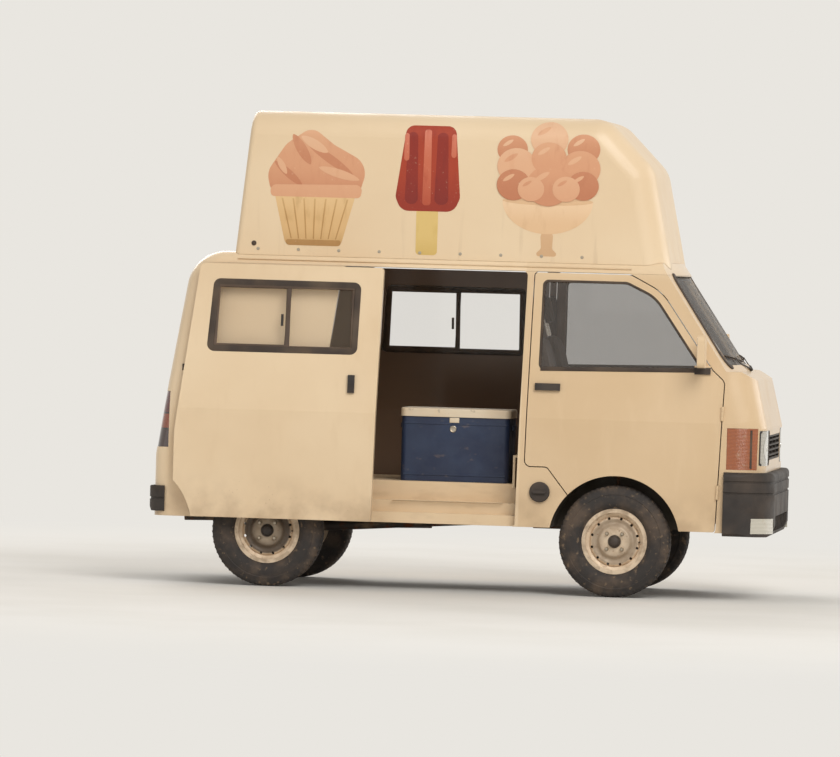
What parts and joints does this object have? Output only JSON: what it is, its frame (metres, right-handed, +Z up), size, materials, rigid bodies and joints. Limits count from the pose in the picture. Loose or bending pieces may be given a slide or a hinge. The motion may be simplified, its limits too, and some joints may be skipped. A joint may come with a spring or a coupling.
{
  "type": "ice cream truck",
  "caption": "Small cab-over microvan with a tall moulded roof, sliding side doors, a tailgate and an ice chest, for selling ice cream.",
  "frame": {"origin": "on the ground below the middle of the van, on its centre line", "axes": "+X towards the front, +Y to the van's left, +Z up"},
  "size_m": [3.195, 1.704, 2.43],
  "materials": {
    "body_paint": "gloss cream white",
    "inner_paint": "satin cream",
    "moulded_roof": "glass fibre gel coat",
    "chassis_black": "underseal",
    "clear_glass": "clear",
    "lamp_glass": "ribbed lens",
    "amber_lens": "moulded lens",
    "red_lens": "moulded lens",
    "black_plastic": "grained",
    "wheel_steel": "silver paint",
    "tyre_rubber": "matt",
    "bare_steel": "dull",
    "seat_cover": "woven vinyl",
    "chest_blue": "moulded",
    "lid_white": "moulded",
    "dash_brown": "grained"
  },
  "bodies": {
    "root": {"roof_panel": "body_paint", "front_panel": "body_paint", "rear_panel": "body_paint", "side_panel_right": "body_paint", "side_panel_left": "body_paint", "raised_roof": "moulded_roof", "floor": "inner_paint", "chassis_frame": "chassis_black", "cross_members": "chassis_black", "windscreen": "clear_glass", "headlamps": "lamp_glass", "corner_lamps": "amber_lens", "tail_lamps": "red_lens", "grille": "black_plastic", "front_bumper": "black_plastic", "rear_bumper": "black_plastic", "fog_lamps": "lamp_glass", "sliding_door_right": "body_paint", "sliding_door_left": "body_paint", "sliding_glass": "clear_glass", "sliding_handles": "black_plastic", "door_rails": "bare_steel", "rear_axle": "bare_steel", "rear_springs": "bare_steel", "front_suspension": "bare_steel", "engine": "bare_steel", "exhaust": "bare_steel", "fuel_tank": "chassis_black", "fuel_cap": "black_plastic", "dashboard": "dash_brown", "steering_wheel": "black_plastic", "seats": "seat_cover", "ice_chest": "chest_blue"},
    "tailgate_body": {"tailgate": "body_paint", "tailgate_glass": "clear_glass"},
    "chest_lid_body": {"chest_lid": "lid_white"},
    "front_door_right_body": {"front_door_right": "body_paint", "front_glass_right": "clear_glass", "front_trim_right": "black_plastic"},
    "knuckle_right_body": {"knuckle_right": "bare_steel"},
    "wheel_front_right_body": {"tyre_front_right": "tyre_rubber", "wheel_front_right": "wheel_steel"},
    "wheel_rear_right_body": {"tyre_rear_right": "tyre_rubber", "wheel_rear_right": "wheel_steel"},
    "front_door_left_body": {"front_door_left": "body_paint", "front_glass_left": "clear_glass", "front_trim_left": "black_plastic"},
    "knuckle_left_body": {"knuckle_left": "bare_steel"},
    "wheel_front_left_body": {"tyre_front_left": "tyre_rubber", "wheel_front_left": "wheel_steel"},
    "wheel_rear_left_body": {"tyre_rear_left": "tyre_rubber", "wheel_rear_left": "wheel_steel"}
  },
  "joints": [
    {"name": "front_door_right", "type": "hinge", "parent": "root", "child": "front_door_right_body", "pos_m": [1.3355, -0.698, 1.11], "axis": [0.037, 0, 0.9993], "range_deg": [0, 65]},
    {"name": "steer_right", "type": "hinge", "parent": "root", "child": "knuckle_right_body", "pos_m": [0.795, -0.507, 0.284], "axis": [0, 0, 1], "range_deg": [-32, 32]},
    {"name": "spin_front_right", "type": "hinge", "parent": "knuckle_right_body", "child": "wheel_front_right_body", "pos_m": [0.795, -0.6025, 0.284], "axis": [0, 1, 0], "continuous": true},
    {"name": "spin_rear_right", "type": "hinge", "parent": "root", "child": "wheel_rear_right_body", "pos_m": [-0.985, -0.6025, 0.284], "axis": [0, 1, 0], "continuous": true},
    {"name": "front_door_left", "type": "hinge", "parent": "root", "child": "front_door_left_body", "pos_m": [1.3355, 0.698, 1.11], "axis": [-0.037, 0, -0.9993], "range_deg": [0, 65]},
    {"name": "steer_left", "type": "hinge", "parent": "root", "child": "knuckle_left_body", "pos_m": [0.795, 0.507, 0.284], "axis": [0, 0, 1], "range_deg": [-32, 32]},
    {"name": "spin_front_left", "type": "hinge", "parent": "knuckle_left_body", "child": "wheel_front_left_body", "pos_m": [0.795, 0.6025, 0.284], "axis": [0, 1, 0], "continuous": true},
    {"name": "spin_rear_left", "type": "hinge", "parent": "root", "child": "wheel_rear_left_body", "pos_m": [-0.985, 0.6025, 0.284], "axis": [0, 1, 0], "continuous": true},
    {"name": "tailgate", "type": "hinge", "parent": "root", "child": "tailgate_body", "pos_m": [-1.39056, 0, 1.6425], "axis": [0, 1, 0], "range_deg": [0, 80]},
    {"name": "chest_lid", "type": "hinge", "parent": "root", "child": "chest_lid_body", "pos_m": [-0.0545, -0.103, 0.88645], "axis": [-1, 0, 0], "range_deg": [0, 95]}
  ],
  "couplings": [
    {"joint": "steer_left", "follows": "steer_right", "ratio": 1}
  ]
}
